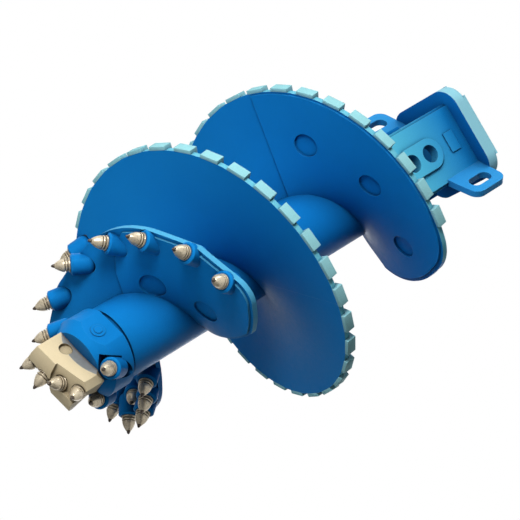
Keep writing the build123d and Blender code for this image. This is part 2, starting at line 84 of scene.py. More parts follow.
def srgb(red: int, green: int, blue: int) -> Colour:
    """Turn a display colour into a shader colour.

    Args:
        red: Red from 0 to 255.
        green: Green from 0 to 255.
        blue: Blue from 0 to 255.

    Returns:
        The linear colour with an alpha of 1.
    """
    linear = []
    for value in (red, green, blue):
        share = value / 255
        linear.append(share / 12.92 if share <= 0.04045 else ((share + 0.055) / 1.055) ** 2.4)
    return (linear[0], linear[1], linear[2], 1.0)


class Body(Enum):
    """Rigid bodies that carry more than one piece."""

    AUGER = "auger"


class PaintSlot(Enum):
    """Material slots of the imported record."""

    BLUE = "blue_paint"
    PILOT = "pilot_paint"
    PICK = "pick_steel"


class NodeGraph:
    """A material's shader graph, built one node at a time."""

    def __init__(self, name: str) -> None:
        """Start an empty graph with its output and shader.

        Args:
            name: Name of the material.
        """
        self.material = bpy.data.materials.new(name)
        self.material.use_nodes = True
        self.tree = self.material.node_tree
        self.tree.nodes.clear()
        self.output = self.tree.nodes.new("ShaderNodeOutputMaterial")
        self.shader = self.tree.nodes.new("ShaderNodeBsdfPrincipled")
        self.join(self.shader.outputs["BSDF"], self.output.inputs["Surface"])
        self.coordinates = self.tree.nodes.new("ShaderNodeTexCoord").outputs["Object"]

    def join(self, source: bpy.types.NodeSocket, target: bpy.types.NodeSocket) -> None:
        """Link one socket to another."""
        self.tree.links.new(source, target)

    def set(self, **values: object) -> None:
        """Set the shader's own sockets, underscores standing for spaces."""
        for name, value in values.items():
            self.shader.inputs[name.replace("_", " ")].default_value = value

    def math(self, operation: str, *values: bpy.types.NodeSocket) -> bpy.types.NodeSocket:
        """Work out a number from one or two others.

        Args:
            operation: Name of the operation.
            values: Its inputs in order.

        Returns:
            The result.
        """
        node = self.tree.nodes.new("ShaderNodeMath")
        node.operation = operation
        for value, target in zip(values, node.inputs):
            self.join(value, target)
        return node.outputs["Value"]

    def rounded_normal(self, radius: float) -> bpy.types.NodeSocket:
        """Find the normal that the surface would have with its edges rounded.

        Args:
            radius: Radius of the rounding in metres.

        Returns:
            The normal.
        """
        node = self.tree.nodes.new("ShaderNodeBevel")
        node.samples = EDGE_SAMPLES
        node.inputs["Radius"].default_value = radius
        return node.outputs["Normal"]

    def noise(self, per_metre: float, detail: float = 3.0, roughness: float = 0.55) -> bpy.types.NodeSocket:
        """Add a noise of so many features to the metre.

        Args:
            per_metre: Scale of the noise.
            detail: Octaves of the noise.
            roughness: Weight of the finer octaves.

        Returns:
            The factor socket.
        """
        node = self.tree.nodes.new("ShaderNodeTexNoise")
        node.inputs["Scale"].default_value = per_metre
        node.inputs["Detail"].default_value = detail
        node.inputs["Roughness"].default_value = roughness
        self.join(self.coordinates, node.inputs["Vector"])
        return node.outputs["Fac"]

    def spread(self, source: bpy.types.NodeSocket, low: float, high: float, start: float = 0.3,
               end: float = 0.7) -> bpy.types.NodeSocket:
        """Map a factor to a range.

        Args:
            source: Factor to map.
            low: Result at start.
            high: Result at end.
            start: Factor that gives low.
            end: Factor that gives high.

        Returns:
            The mapped value.
        """
        node = self.tree.nodes.new("ShaderNodeMapRange")
        for name, value in (("From Min", start), ("From Max", end), ("To Min", low), ("To Max", high)):
            node.inputs[name].default_value = value
        self.join(source, node.inputs["Value"])
        return node.outputs["Result"]

    def blend(self, factor: bpy.types.NodeSocket | float, first: object, second: object,
              blend_type: str = "MIX") -> bpy.types.NodeSocket:
        """Mix two colours.

        Args:
            factor: Share of the second colour.
            first: Colour or socket.
            second: Colour or socket.
            blend_type: Way of mixing.

        Returns:
            The mixed colour.
        """
        node = self.tree.nodes.new("ShaderNodeMix")
        node.data_type = "RGBA"
        node.blend_type = blend_type
        for socket, value in ((node.inputs[0], factor), (node.inputs[6], first), (node.inputs[7], second)):
            if isinstance(value, bpy.types.NodeSocket):
                self.join(value, socket)
            else:
                socket.default_value = value
        return node.outputs[2]

    def edge_mask(self, radius: float, sharpness: float) -> bpy.types.NodeSocket:
        """Find the edges, as the difference between the rounded and the true normal.

        Args:
            radius: Width of the edge in metres.
            sharpness: How quickly the mask rises.

        Returns:
            A factor near 1 on edges.
        """
        geometry = self.tree.nodes.new("ShaderNodeNewGeometry")
        dot = self.tree.nodes.new("ShaderNodeVectorMath")
        dot.operation = "DOT_PRODUCT"
        self.join(self.rounded_normal(radius), dot.inputs[0])
        self.join(geometry.outputs["Normal"], dot.inputs[1])
        return self.spread(dot.outputs["Value"], 1.0, 0.0, 1.0 - sharpness, 1.0)

    def along_axis(self, low: float, high: float) -> bpy.types.NodeSocket:
        """Rise from 0 to 1 between two heights on the turning axis.

        Args:
            low: Height that gives 0, in metres.
            high: Height that gives 1, in metres.

        Returns:
            The factor.
        """
        split = self.tree.nodes.new("ShaderNodeSeparateXYZ")
        self.join(self.coordinates, split.inputs["Vector"])
        return self.spread(split.outputs["Z"], 0.0, 1.0, low, high)

    def hollow_shade(self, reach: float) -> bpy.types.NodeSocket:
        """Find hollows and corners, where painted shade darkens the colour.

        Args:
            reach: How far a neighbouring face darkens a spot, in metres.

        Returns:
            A factor near 1 in corners and 0 in the open.
        """
        node = self.tree.nodes.new("ShaderNodeAmbientOcclusion")
        node.samples = CREVICE_SAMPLES
        node.inputs["Distance"].default_value = reach
        return self.spread(node.outputs["AO"], 1.0, 0.0, 0.35, 0.95)

    def cut_edge_mask(self, radius: float) -> bpy.types.NodeSocket:
        """Find a plate's cut edges, which stand upright, outside a radius about the turning axis.

        Args:
            radius: Least distance from the axis in metres.

        Returns:
            A factor of 1 on those edges.
        """
        normal = self.tree.nodes.new("ShaderNodeTexCoord").outputs["Normal"]
        split = self.tree.nodes.new("ShaderNodeSeparateXYZ")
        self.join(normal, split.inputs["Vector"])
        upright = self.spread(self.math("ABSOLUTE", split.outputs["Z"]), 1.0, 0.0, 0.45, 0.6)
        flatten = self.tree.nodes.new("ShaderNodeVectorMath")
        flatten.operation = "MULTIPLY"
        flatten.inputs[1].default_value = (1.0, 1.0, 0.0)
        self.join(self.coordinates, flatten.inputs[0])
        away = self.tree.nodes.new("ShaderNodeVectorMath")
        away.operation = "LENGTH"
        self.join(flatten.outputs["Vector"], away.inputs[0])
        outside = self.spread(away.outputs["Value"], 0.0, 1.0, radius, radius + 0.002)
        return self.math("MULTIPLY", upright, outside)

    def relief(self, height: bpy.types.NodeSocket, depth: float, edge_radius: float) -> None:
        """Add bump over softly rounded edges.

        Args:
            height: Height factor.
            depth: Depth of the relief in metres.
            edge_radius: Radius that edges are rounded to in shading, in metres.
        """
        bump = self.tree.nodes.new("ShaderNodeBump")
        bump.inputs["Distance"].default_value = depth
        self.join(height, bump.inputs["Height"])
        self.join(self.rounded_normal(edge_radius), bump.inputs["Normal"])
        self.join(bump.outputs["Normal"], self.shader.inputs["Normal"])


@dataclass(frozen=True)
class SprayedPaint:
    """Satin sprayed paint on plate: clouding, fine grain and paler edges, with painted shade in corners and
    hollows, and on some plates a paler rim on cut edges as a painted highlight and a painted light gradient
    along the axis.

    Depths, radii and reach are in metres, and scales are features to the metre.
    """

    name: str
    colour: Colour
    cloud: Colour
    edge: Colour
    rim: Colour | None = None
    rim_from: float = 0.0
    painted_light: Colour | None = None
    painted_light_span: tuple[float, float] = (0.0, 1.0)
    corner_shade: Colour = srgb(8, 44, 84)
    corner_shade_share: float = 0.85
    reach: float = 0.16
    cloud_share: float = 0.5
    edge_share: float = 0.35
    grain: float = 0.07
    roughness: float = 0.40
    metallic: float = 0.0
    gloss: float = 0.09
    sheen: Colour = (1.0, 1.0, 1.0, 1.0)
    peel_depth: float = 0.0003
    edge_radius: float = 0.0015
    cloud_scale: float = 5.0
    wear_scale: float = 40.0
    grain_scale: float = 420.0
    rough_scale: float = 60.0
    peel_scale: float = 260.0

    def material(self) -> bpy.types.Material:
        """Build the paint.

        Returns:
            The material.
        """
        graph = NodeGraph(self.name)
        cloud = graph.spread(graph.noise(self.cloud_scale, 4.0), 0.0, self.cloud_share)
        tint = graph.blend(cloud, self.colour, self.cloud)
        # painted light: the paint turns paler towards the low end of its span along the axis
        if self.painted_light:
            tint = graph.blend(graph.along_axis(*self.painted_light_span), self.painted_light, tint)
        # painted highlight: upright cut edges outside a radius take the paler rim colour
        if self.rim:
            tint = graph.blend(graph.cut_edge_mask(self.rim_from), tint, self.rim)
        patches = graph.spread(graph.noise(self.wear_scale, 5.0), 0.2 * self.edge_share, self.edge_share)
        worn = graph.math("MULTIPLY", graph.edge_mask(self.edge_radius * 1.6, 0.25), patches)
        tint = graph.blend(worn, tint, self.edge)
        # painted shade: corners and hollows darkened towards the corner shade colour
        shade_mask = graph.spread(graph.hollow_shade(self.reach), 0.0, self.corner_shade_share, 0.0, 1.0)
        tint = graph.blend(shade_mask, tint, self.corner_shade)
        grain = graph.spread(graph.noise(self.grain_scale, 4.0, 0.8), 1.0 - self.grain, 1.0 + self.grain)
        shade = graph.tree.nodes.new("ShaderNodeCombineColor")
        for name in ("Red", "Green", "Blue"):
            graph.join(grain, shade.inputs[name])
        tint = graph.blend(1.0, tint, shade.outputs["Color"], "MULTIPLY")
        graph.join(tint, graph.shader.inputs["Base Color"])
        rough = graph.noise(self.rough_scale, 4.0)
        rough = graph.spread(rough, self.roughness - 0.05, self.roughness + 0.07)
        graph.join(rough, graph.shader.inputs["Roughness"])
        graph.set(Metallic=self.metallic, Specular_IOR_Level=self.gloss, Specular_Tint=self.sheen)
        graph.relief(graph.noise(self.peel_scale, 3.0), self.peel_depth, self.edge_radius)
        return graph.material


@dataclass(frozen=True)
class TurnedSteel:
    """Turned steel with slight clouding, fine specks and painted shade in its grooves.

    Depths, radii and reach are in metres, and scales are features to the metre.
    """

    name: str
    colour: Colour
    dark: Colour
    groove_shade: Colour = srgb(84, 68, 48)
    groove_shade_share: float = 0.85
    groove_reach: float = 0.012
    roughness: float = 0.34
    metallic: float = 0.85
    relief_depth: float = 0.00012
    edge_radius: float = 0.0006
    cloud_scale: float = 55.0
    speck_scale: float = 900.0
    rough_scale: float = 140.0
    relief_scale: float = 700.0

    def material(self) -> bpy.types.Material:
        """Build the steel.

        Returns:
            The material.
        """
        graph = NodeGraph(self.name)
        cloud = graph.spread(graph.noise(self.cloud_scale, 4.0), 0.0, 0.6)
        tint = graph.blend(cloud, self.colour, self.dark)
        speck = graph.spread(graph.noise(self.speck_scale, 3.0, 0.7), 0.0, 0.35, 0.45, 0.75)
        steel = graph.blend(speck, tint, self.dark)
        # painted shade: grooves and corners darkened towards the groove shade colour
        shade_mask = graph.spread(graph.hollow_shade(self.groove_reach), 0.0, self.groove_shade_share, 0.0, 1.0)
        graph.join(graph.blend(shade_mask, steel, self.groove_shade), graph.shader.inputs["Base Color"])
        rough = graph.noise(self.rough_scale, 4.0)
        rough = graph.spread(rough, self.roughness - 0.08, self.roughness + 0.12)
        graph.join(rough, graph.shader.inputs["Roughness"])
        graph.set(Metallic=self.metallic)
        graph.relief(graph.noise(self.relief_scale, 2.0), self.relief_depth, self.edge_radius)
        return graph.material


@dataclass(frozen=True)
class FloorCoat:
    """Plain pale floor that shows white to the camera and keeps the shadow."""

    name: str = "pale_floor"
    colour: Colour = (0.62, 0.62, 0.62, 1.0)
    mottle: Colour = (0.58, 0.58, 0.58, 1.0)
    white: Colour = (1.0, 1.0, 1.0, 1.0)
    glow: float = 0.62

    def material(self) -> bpy.types.Material:
        """Build the floor's finish.

        Returns:
            The material.
        """
        graph = NodeGraph(self.name)
        share = graph.spread(graph.noise(2.0, 3.0), 0.0, 0.3)
        graph.join(graph.blend(share, self.colour, self.mottle), graph.shader.inputs["Base Color"])
        graph.set(Roughness=0.8, Specular_IOR_Level=0.2, Emission_Color=self.white)
        path = graph.tree.nodes.new("ShaderNodeLightPath")
        glow = graph.spread(path.outputs["Is Camera Ray"], 0.0, self.glow, 0.0, 1.0)
        graph.join(glow, graph.shader.inputs["Emission Strength"])
        return graph.material


CYAN_SHEEN = (0.10, 0.75, 1.0, 1.0)
BLUE = SprayedPaint(
    name="blue_paint",
    colour=srgb(17, 130, 210),
    cloud=srgb(21, 137, 215),
    edge=srgb(110, 200, 230),
    sheen=CYAN_SHEEN,
)
# painted highlight: the rim colours make the plates' cut edges paler; on the tip flight the pale rim also
# stands for the short rim pads between the holders
FLIGHT_BLUE = replace(BLUE, name="flight_paint", rim=srgb(116, 204, 226), rim_from=0.49)
TIP_BLUE = replace(BLUE, name="tip_flight_paint", rim=srgb(84, 178, 222), rim_from=0.28)
FLANGE_BLUE = replace(
    BLUE, name="flange_paint", edge=srgb(150, 214, 230), rim=srgb(150, 212, 228), rim_from=0.1
)
BARE_STEEL = TurnedSteel(
    name="bare_steel", colour=srgb(150, 152, 150), dark=srgb(128, 130, 128), metallic=0.2
)
HARDFACE = SprayedPaint(
    name="hardfaced_blue",
    colour=srgb(150, 214, 222),
    cloud=srgb(162, 218, 224),
    edge=srgb(176, 226, 230),
    grain=0.12,
    roughness=0.6,
    gloss=0.15,
    peel_depth=0.0009,
)
LUG_BLUE = SprayedPaint(
    name="lug_paint",
    colour=srgb(48, 152, 222),
    cloud=srgb(54, 158, 224),
    edge=srgb(140, 212, 232),
    sheen=CYAN_SHEEN,
)
# painted light: the box's blue is lighter than the other blue, and paler still towards its lower end
BOX_BLUE = SprayedPaint(
    name="box_paint",
    colour=srgb(24, 140, 214),
    cloud=srgb(30, 146, 218),
    painted_light=srgb(98, 208, 234),
    painted_light_span=(-0.16, 0.16),
    edge=srgb(140, 212, 232),
    sheen=CYAN_SHEEN,
)
CREAM = SprayedPaint(
    name="cream_coat",
    # painted shade: corners and hollows of the pilot block darkened towards this brown
    corner_shade=srgb(84, 72, 54),
    corner_shade_share=0.8,
    reach=0.07,
    colour=srgb(238, 222, 184),
    cloud=srgb(228, 208, 168),
    edge=srgb(250, 240, 214),
    grain=0.05,
    roughness=0.5,
)
PICK_STEEL = TurnedSteel(
    name="pick_steel", colour=srgb(236, 222, 194), dark=srgb(168, 152, 124), roughness=0.3, metallic=0.4
)
CARBIDE = TurnedSteel(
    name="carbide", colour=srgb(104, 92, 80), dark=srgb(60, 54, 50), roughness=0.42, metallic=0.6
)


def turned_mesh(name: str, profile: Outline, segments: int) -> bpy.types.Mesh:
    """Turn a profile about the local Z axis.

    Args:
        name: Name of the mesh.
        profile: Points as radius and height in metres, closed on the axis at both ends.
        segments: Number of facets around.

    Returns:
        The closed mesh, whose faces follow the profile ring by ring.
    """
    mesh = bpy.data.meshes.new(name)
    shape = bmesh.new()
    rings = []
    for radius, height in profile:
        if radius == 0:
            rings.append([shape.verts.new((0, 0, height))])
            continue
        ring = []
        for k in range(segments):
            angle = 2 * math.pi * k / segments
            ring.append(shape.verts.new((radius * math.cos(angle), radius * math.sin(angle), height)))
        rings.append(ring)
    for lower, upper in zip(rings, rings[1:]):
        for k in range(segments):
            after = (k + 1) % segments
            if len(lower) == 1:
                corners = (lower[0], upper[after], upper[k])
            elif len(upper) == 1:
                corners = (lower[k], lower[after], upper[0])
            else:
                corners = (lower[k], lower[after], upper[after], upper[k])
            shape.faces.new(corners)
    bmesh.ops.recalc_face_normals(shape, faces=shape.faces)
    shape.to_mesh(mesh)
    shape.free()
    return mesh


def place(name: str, mesh: bpy.types.Mesh, origin: Vector, way: Vector) -> bpy.types.Object:
    """Put a mesh in the scene with its local Z along a direction, its place kept in the mesh.

    Args:
        name: Name of the piece.
        mesh: Mesh about the local Z axis.
        origin: Where the local origin goes.
        way: Where the local Z axis points.

    Returns:
        The new object.
    """
    turn = way.to_track_quat("Z", "Y").to_matrix().to_4x4()
    mesh.transform(Matrix.Translation(origin) @ turn)
    piece = bpy.data.objects.new(name, mesh)
    bpy.context.scene.collection.objects.link(piece)
    return piece


def smooth_by_angle(mesh: bpy.types.Mesh, degrees: float) -> None:
    """Shade a mesh smooth, with edges sharper than an angle kept hard.

    Args:
        mesh: Mesh to shade.
        degrees: Angle from which an edge stays hard.
    """
    mesh.polygons.foreach_set("use_smooth", [True] * len(mesh.polygons))
    mesh.set_sharp_from_angle(angle=math.radians(degrees))


def hull(name: str, points: list[Point]) -> bpy.types.Mesh:
    """Wrap points in their convex hull.

    Args:
        name: Name of the mesh.
        points: Points in metres.

    Returns:
        The closed mesh.
    """
    mesh = bpy.data.meshes.new(name)
    shape = bmesh.new()
    corners = [shape.verts.new(point) for point in points]
    bmesh.ops.convex_hull(shape, input=corners)
    flat = math.radians(0.5)
    bmesh.ops.dissolve_limit(shape, angle_limit=flat, verts=shape.verts, edges=shape.edges)
    bmesh.ops.recalc_face_normals(shape, faces=shape.faces)
    shape.to_mesh(mesh)
    shape.free()
    return mesh


def bar(radius: float, low: float, high: float) -> Outline:
    """Outline of a plain round bar between two heights."""
    return [(0, low), (radius, low), (radius, high), (0, high)]


def cutter(name: str, origin: Vector, way: Vector, profile: Outline,
           segments: int = ROUND_FACETS) -> bpy.types.Mesh:
    """Turn a round solid and point it along a direction.

    Args:
        name: Name of the mesh.
        origin: Where the profile's zero height lies, in metres.
        way: Direction of the axis.
        profile: Points as radius and height in millimetres, closed on the axis at both ends.
        segments: Number of facets around.

    Returns:
        The solid.
    """
    mesh = turned_mesh(name, [(radius * MM, height * MM) for radius, height in profile], segments)
    mesh.transform(Matrix.Translation(origin) @ way.to_track_quat("Z", "Y").to_matrix().to_4x4())
    return mesh


def carve(name: str, base: bpy.types.Mesh, steps: list[tuple[str, bpy.types.Mesh]]) -> bpy.types.Mesh:
    """Join meshes to a base and cut others out of it.

    Args:
        name: Name of the result.
        base: Mesh to start from.
        steps: What to do in order, each as UNION or DIFFERENCE with a mesh.

    Returns:
        The new mesh.
    """
    linked = bpy.context.scene.collection.objects
    blank = bpy.data.objects.new(name + "_blank", base)
    linked.link(blank)
    tools = []
    for operation, mesh in steps:
        tool = bpy.data.objects.new(name + "_tool", mesh)
        linked.link(tool)
        tools.append(tool)
        cut = blank.modifiers.new("cut", "BOOLEAN")
        cut.operation = operation
        cut.solver = "EXACT"
        cut.object = tool
    carved = blank.evaluated_get(bpy.context.evaluated_depsgraph_get())
    result = bpy.data.meshes.new_from_object(carved)
    result.name = name
    for helper in (blank, *tools):
        bpy.data.objects.remove(helper)
    return result


@dataclass(frozen=True)
class FaceCut:
    """Round cut into a wing's face, in millimetres: its middle along the wing and up, radius and depth."""

    along: float
    up: float
    radius: float
    depth: float


@dataclass
class PilotBit:
    """The two-winged pilot block, alike when turned by half a turn, with its shank in the socket.

    Sizes are in millimetres. In each half u runs along the wing, v across it, and heights are from the
    block's top.
    """

    top: float = -1614.5
    turn: float = WING_TURN
    height: float = 112.0
    half_thick: float = 69.0
    long_end: float = 122.0
    short_end: float = 93.0
    corner_u: float = 20.0
    corner_v: float = 24.0
    step_u: float = -4.0
    edge_v: float = 34.0
    edge_z: float = 12.0
    facet_drop: float = 107.5
    facet_slope_u: float = 0.20
    facet_slope_v: float = 0.235
    notch: FaceCut = FaceCut(-33.0, -32.0, 23.0, 12.0)
    scoop: FaceCut = FaceCut(16.0, 118.0, 160.0, 12.0)
    scoop_slope: float = 5.0
    scoop_lean: tuple[float, float] = (0.9, 0.9995)
    scoop_band: float = 13.0
    scoop_facets: int = 160
    shank_radius: float = 59.5
    shank_height: float = 110.0
    shank_root: float = 20.0
    shank_facets: int = 96
    pin_radius: float = PIN_RADIUS
    pin_height: float = 63.0
    seat_radius: float = 27.0
    bore_radius: float = 15.5
    bore_depth: float = 52.0
    holder_room: float = 45.0
    holder_drop: float = 34.0
    hard_edge: float = 28.0

    def half_frame(self, side: int) -> Matrix:
        """Frame of one half, with x along u and y along v."""
        turn = Matrix.Rotation(math.radians(self.turn + (180 if side < 0 else 0)), 4, "Z")
        return Matrix.Translation((0, 0, self.top * MM)) @ turn

    def wedge(self, frame: Matrix, points: list[Point]) -> bpy.types.Mesh:
        """Wrap points given in a half's own millimetres.

        Args:
            frame: Frame of the half.
            points: Points along u, along v and up.

        Returns:
            The solid.
        """
        mesh = hull("wedge", [(u * MM, v * MM, z * MM) for u, v, z in points])
        mesh.transform(frame)
        return mesh

    def block(self) -> bpy.types.Mesh:
        """Shape the six-sided blank that the wings are cut from.

        Returns:
            The blank.
        """
        long, short, thick = self.long_end, self.short_end, self.half_thick
        outline = [
            (-short, -thick),
            (long - self.corner_u, -thick),
            (long, self.corner_v - thick),
            (short, thick),
            (self.corner_u - long, thick),
            (-long, thick - self.corner_v),
        ]
        points = [(u, v, z) for u, v in outline for z in (0.0, -self.height)]
        return self.wedge(self.half_frame(1), points)

    def half_cuts(self, side: int) -> list[bpy.types.Mesh]:
        """Make the cutters of one half: the facet, the bevelled edge, the notch and the scoop.

        Args:
            side: 1 or -1.

        Returns:
            The cutters.
        """
        frame = self.half_frame(side)
        far, thick, low = 2 * self.long_end, self.half_thick, 2 * self.height
        facet = []
        for u in (self.step_u, far):
            for v in (-2 * thick, 0.0):
                height = -self.facet_drop + self.facet_slope_u * u - self.facet_slope_v * v
                facet += [(u, v, height), (u, v, -low)]
        edge = []
        for u in (self.step_u, -far):
            edge += [(u, -thick - 1, -self.height - 1), (u, self.edge_v - thick, -self.height - 1)]
            edge += [(u, self.edge_v - thick, -self.height), (u, -thick, self.edge_z - self.height)]
            edge.append((u, -thick - 1, self.edge_z - self.height))
        across = frame.to_3x3() @ Vector((0, 1, 0))
        notch, scoop, slope = self.notch, self.scoop, self.scoop_slope
        notch_from = frame @ Vector((notch.along * MM, -thick * MM, notch.up * MM))
        scoop_from = frame @ Vector((scoop.along * MM, -thick * MM, scoop.up * MM))
        dish = [(0, -1), (scoop.radius + slope, -1)]
        dish += [(scoop.radius - slope * scoop.depth, scoop.depth), (0, scoop.depth)]
        return [
            self.wedge(frame, facet),
            self.wedge(frame, edge),
            cutter("notch", notch_from, across, bar(notch.radius, -1, notch.depth)),
            cutter("scoop", scoop_from, across, dish, self.scoop_facets),
        ]

    def seat_cuts(self, joints: list[Joint]) -> list[bpy.types.Mesh]:
        """Make the cutters for the picks' seats and for the holders beside the block.

        Args:
            joints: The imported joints, which give each pick's place and axis.

        Returns:
            The cutters.
        """
        cuts = []
        for joint in joints:
            origin, way = Vector(joint["pos_m"]), Vector(joint["axis"]).normalized()
            if joint["child"].startswith("body_pilot"):
                bore, seat = self.bore_radius, self.seat_radius
                profile = [(0, -self.bore_depth), (bore, -self.bore_depth), (bore, 0), (seat, 0)]
                profile += [(seat, self.height), (0, self.height)]
                cuts.append(cutter("seat", origin, way, profile))
            if joint["child"].startswith("body_socket"):
                room = bar(self.holder_room, -self.holder_drop, self.height)
                cuts.append(cutter("room", origin, way, room))
        return cuts

    def build(self, joints: list[Joint], cream: bpy.types.Material,
              bare: bpy.types.Material) -> bpy.types.Object:
        """Build the pilot bit.

        Args:
            joints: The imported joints.
            cream: Finish of the block.
            bare: Finish of the scooped faces.

        Returns:
            The new piece.
        """
        up = Vector((0, 0, 1))
        across = self.half_frame(1).to_3x3() @ Vector((0, 1, 0))
        shank_bar = bar(self.shank_radius, -self.shank_root, self.shank_height)
        shank = cutter("shank", Vector((0, 0, self.top * MM)), up, shank_bar, self.shank_facets)
        pin_middle = Vector((0, 0, (self.top + self.pin_height) * MM))
        pin_bar = bar(self.pin_radius, -2 * self.half_thick, 2 * self.half_thick)
        steps = [("DIFFERENCE", cut) for side in (1, -1) for cut in self.half_cuts(side)]
        steps += [("UNION", shank), ("DIFFERENCE", cutter("pin_bore", pin_middle, across, pin_bar))]
        steps += [("DIFFERENCE", cut) for cut in self.seat_cuts(joints)]
        mesh = carve("pilot_block", self.block(), steps)
        mesh.materials.clear()
        mesh.materials.append(cream)
        mesh.materials.append(bare)
        least, most = self.scoop_lean
        for face in mesh.polygons:
            leaning = least < abs(face.normal.dot(across)) < most
            outside = abs(face.center.dot(across)) > (self.half_thick - self.scoop_band) * MM
            face.material_index = 1 if leaning and outside else 0
        smooth_by_angle(mesh, self.hard_edge)
        piece = bpy.data.objects.new("pilot_block", mesh)
        bpy.context.scene.collection.objects.link(piece)
        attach(piece, Body.AUGER.value)
        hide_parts("pilot_bit")
        LOG.info("pilot block carved, %d faces", len(mesh.polygons))
        return piece


@dataclass
class PilotSocket:
    """The turned socket under the stem, with two flats, a ring groove and square pockets for its picks.

    Sizes are in millimetres, heights from the socket's upper end.
    """

    top: float = -1478.5
    turn: float = WING_TURN
    radius: float = 140.0
    groove_radius: float = 118.0
    groove_width: float = 15.0
    straight: float = 95.0
    length: float = 136.0
    front_radius: float = 113.0
    flat: float = 128.0
    bore_radius: float = 60.0
    bore_depth: float = 110.0
    pin_radius: float = PIN_RADIUS
    pin_drop: float = 73.0
    holder_radius: float = 36.0
    holder_length: float = 110.0
    pocket_half: float = 40.0
    pocket_drop: float = 50.0
    body_facets: int = 128
    bore_facets: int = 96
    bore_lead: float = 5.0
    hard_edge: float = 28.0

    def pocket(self, origin: Vector, way: Vector) -> bpy.types.Mesh:
        """Make the square cutter that clears the front of a pick's holder.

        Args:
            origin: Middle of the holder's front, in metres.
            way: The way the pick points.

        Returns:
            The cutter.
        """
        half, low, high = self.pocket_half * MM, -self.pocket_drop * MM, self.radius * MM
        corners = [(x, y, z) for x in (-half, half) for y in (-half, half) for z in (low, high)]
        mesh = hull("pocket", corners)
        across = way.cross(Vector((origin.x, origin.y, 0))).normalized()
        turn = Matrix((across, way.cross(across), way)).transposed().to_4x4()
        mesh.transform(Matrix.Translation(origin) @ turn)
        return mesh

    def flats(self) -> list[bpy.types.Mesh]:
        """Make the cutters of the two flats.

        Returns:
            The cutters.
        """
        cuts = []
        for side in (0, 180):
            far, low = 2 * self.radius * MM, -2 * self.length * MM
            near = self.flat * MM
            corners = [(u, v, z) for u in (-far, far) for v in (near, far) for z in (low, 0.01)]
            flat = hull("flat", corners)
            turn = Matrix.Rotation(math.radians(self.turn + side), 4, "Z")
            flat.transform(Matrix.Translation((0, 0, self.top * MM)) @ turn)
            cuts.append(flat)
        return cuts

    def build(self, joints: list[Joint], paint: bpy.types.Material) -> bpy.types.Object:
        """Build the socket.

        Args:
            joints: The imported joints, which give each pick's place and axis.
            paint: Finish of the socket.

        Returns:
            The new piece.
        """
        low = -self.length
        outline = [
            (0, low),
            (self.front_radius, low),
            (self.radius, -self.straight),
            (self.radius, -self.groove_width),
            (self.groove_radius, -self.groove_width),
            (self.groove_radius, 0),
            (0, 0),
        ]
        up = Vector((0, 0, 1))
        origin = Vector((0, 0, self.top * MM))
        body = cutter("socket", origin, up, outline, self.body_facets)
        bore = bar(self.bore_radius, low - self.bore_lead, low + self.bore_depth)
        steps = [("DIFFERENCE", cutter("bore", origin, up, bore, self.bore_facets))]
        steps += [("DIFFERENCE", flat) for flat in self.flats()]
        pin_way = Vector((0, 1, 0))
        pin_way.rotate(Matrix.Rotation(math.radians(self.turn), 3, "Z"))
        pin_middle = origin - up * self.pin_drop * MM
        pin_bar = bar(self.pin_radius, -2 * self.radius, 2 * self.radius)
        steps.append(("DIFFERENCE", cutter("pin_bore", pin_middle, pin_way, pin_bar)))
        for joint in joints:
            if not joint["child"].startswith("body_socket"):
                continue
            front, way = Vector(joint["pos_m"]), Vector(joint["axis"]).normalized()
            seat = bar(self.holder_radius, -self.holder_length, 0)
            steps.append(("DIFFERENCE", cutter("seat", front, way, seat)))
            steps.append(("DIFFERENCE", self.pocket(front, way)))
        mesh = carve("turned_socket", body, steps)
        mesh.materials.clear()
        mesh.materials.append(paint)
        smooth_by_angle(mesh, self.hard_edge)
        piece = bpy.data.objects.new("turned_socket", mesh)
        bpy.context.scene.collection.objects.link(piece)
        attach(piece, Body.AUGER.value)
        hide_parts("pilot_socket")
        LOG.info("socket turned, %d faces", len(mesh.polygons))
        return piece


